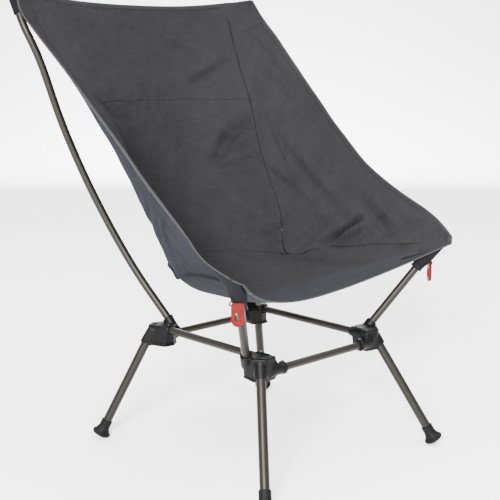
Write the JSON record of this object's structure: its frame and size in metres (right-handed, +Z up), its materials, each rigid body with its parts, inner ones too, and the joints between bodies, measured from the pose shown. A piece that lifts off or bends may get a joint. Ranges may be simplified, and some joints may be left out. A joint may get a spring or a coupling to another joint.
{
  "type": "backpacking chair",
  "caption": "Ultralight high-backed backpacking chair: four-hub pole frame, sprung pull-out legs, slung fabric bucket seat.",
  "frame": {"origin": "on the ground, below the centre of the bounding box", "axes": "+Z up, -Y the way the sitter faces, +X the sitter's left"},
  "size_m": [0.5848, 0.6197, 0.8084],
  "materials": {
    "tube_alloy": "bronze anodised, satin",
    "ferrule_alloy": "plain drawn",
    "pin_steel": "satin",
    "moulded_plastic": "fine moulded texture",
    "foot_rubber": "matt",
    "sling_cloth": "plain ripstop weave, soft sheen",
    "edge_binding": "ribbed woven tape",
    "sleeve_cloth": "heavy packcloth",
    "shock_cord": "braided sheath",
    "tab_plastic": "satin moulded"
  },
  "bodies": {
    "frame": {"hub_front_left": "moulded_plastic", "leg_cord_front_left": "shock_cord", "hub_rear_left": "moulded_plastic", "leg_cord_rear_left": "shock_cord", "side_bar_left": "tube_alloy", "seat_pole_left": "tube_alloy", "back_pole_lower_left": "tube_alloy", "back_pole_upper_left": "tube_alloy", "back_pole_ferrule_left": "ferrule_alloy", "seat_pole_tip_left": "moulded_plastic", "back_pole_tip_left": "moulded_plastic", "seat_pole_pocket_left": "sleeve_cloth", "back_pole_pocket_left": "sleeve_cloth", "seat_pole_cord_left": "shock_cord", "back_pole_cord_left": "shock_cord", "tab_loop_left": "shock_cord", "wing_left": "sling_cloth", "side_binding_left": "edge_binding", "hub_front_right": "moulded_plastic", "leg_cord_front_right": "shock_cord", "hub_rear_right": "moulded_plastic", "leg_cord_rear_right": "shock_cord", "side_bar_right": "tube_alloy", "seat_pole_right": "tube_alloy", "back_pole_lower_right": "tube_alloy", "back_pole_upper_right": "tube_alloy", "back_pole_ferrule_right": "ferrule_alloy", "seat_pole_tip_right": "moulded_plastic", "back_pole_tip_right": "moulded_plastic", "seat_pole_pocket_right": "sleeve_cloth", "back_pole_pocket_right": "sleeve_cloth", "seat_pole_cord_right": "shock_cord", "back_pole_cord_right": "shock_cord", "tab_loop_right": "shock_cord", "wing_right": "sling_cloth", "side_binding_right": "edge_binding", "hub_pins": "pin_steel", "cross_bar_front": "tube_alloy", "cross_bar_rear": "tube_alloy", "seat_panel": "sling_cloth", "back_lower_panel": "sling_cloth", "back_upper_panel": "sling_cloth", "hem_front": "edge_binding", "hem_top": "edge_binding"},
    "leg_front_left_assembly": {"leg_front_left": "tube_alloy", "foot_front_left": "foot_rubber", "leg_plug_front_left": "moulded_plastic"},
    "leg_front_right_assembly": {"leg_front_right": "tube_alloy", "foot_front_right": "foot_rubber", "leg_plug_front_right": "moulded_plastic"},
    "leg_rear_left_assembly": {"leg_rear_left": "tube_alloy", "foot_rear_left": "foot_rubber", "leg_plug_rear_left": "moulded_plastic"},
    "leg_rear_right_assembly": {"leg_rear_right": "tube_alloy", "foot_rear_right": "foot_rubber", "leg_plug_rear_right": "moulded_plastic"},
    "pull_tab_left_swing": {"pull_tab_left": "tab_plastic"},
    "pull_tab_right_swing": {"pull_tab_right": "tab_plastic"}
  },
  "joints": [
    {"name": "pull_out_leg_front_left", "type": "slide", "parent": "frame", "child": "leg_front_left_assembly", "axis": [0.3251, -0.3882, -0.8623], "range_m": [0, 0.045], "stiffness_N_per_m": 200, "springref_m": -0.04},
    {"name": "pull_out_leg_front_right", "type": "slide", "parent": "frame", "child": "leg_front_right_assembly", "axis": [-0.3251, -0.3882, -0.8623], "range_m": [0, 0.045], "stiffness_N_per_m": 200, "springref_m": -0.04},
    {"name": "pull_out_leg_rear_left", "type": "slide", "parent": "frame", "child": "leg_rear_left_assembly", "axis": [0.3499, 0.2809, -0.8937], "range_m": [0, 0.045], "stiffness_N_per_m": 200, "springref_m": -0.04},
    {"name": "pull_out_leg_rear_right", "type": "slide", "parent": "frame", "child": "leg_rear_right_assembly", "axis": [-0.3499, 0.2809, -0.8937], "range_m": [0, 0.045], "stiffness_N_per_m": 200, "springref_m": -0.04},
    {"name": "swing_tab_left", "type": "hinge", "parent": "frame", "child": "pull_tab_left_swing", "pos_m": [0.233, -0.258, 0.3206], "axis": [-0.6863, -0.7273, 0], "range_deg": [-20, 80]},
    {"name": "swing_tab_right", "type": "hinge", "parent": "frame", "child": "pull_tab_right_swing", "pos_m": [-0.233, -0.258, 0.3206], "axis": [-0.6863, 0.7273, 0], "range_deg": [-20, 80]}
  ]
}
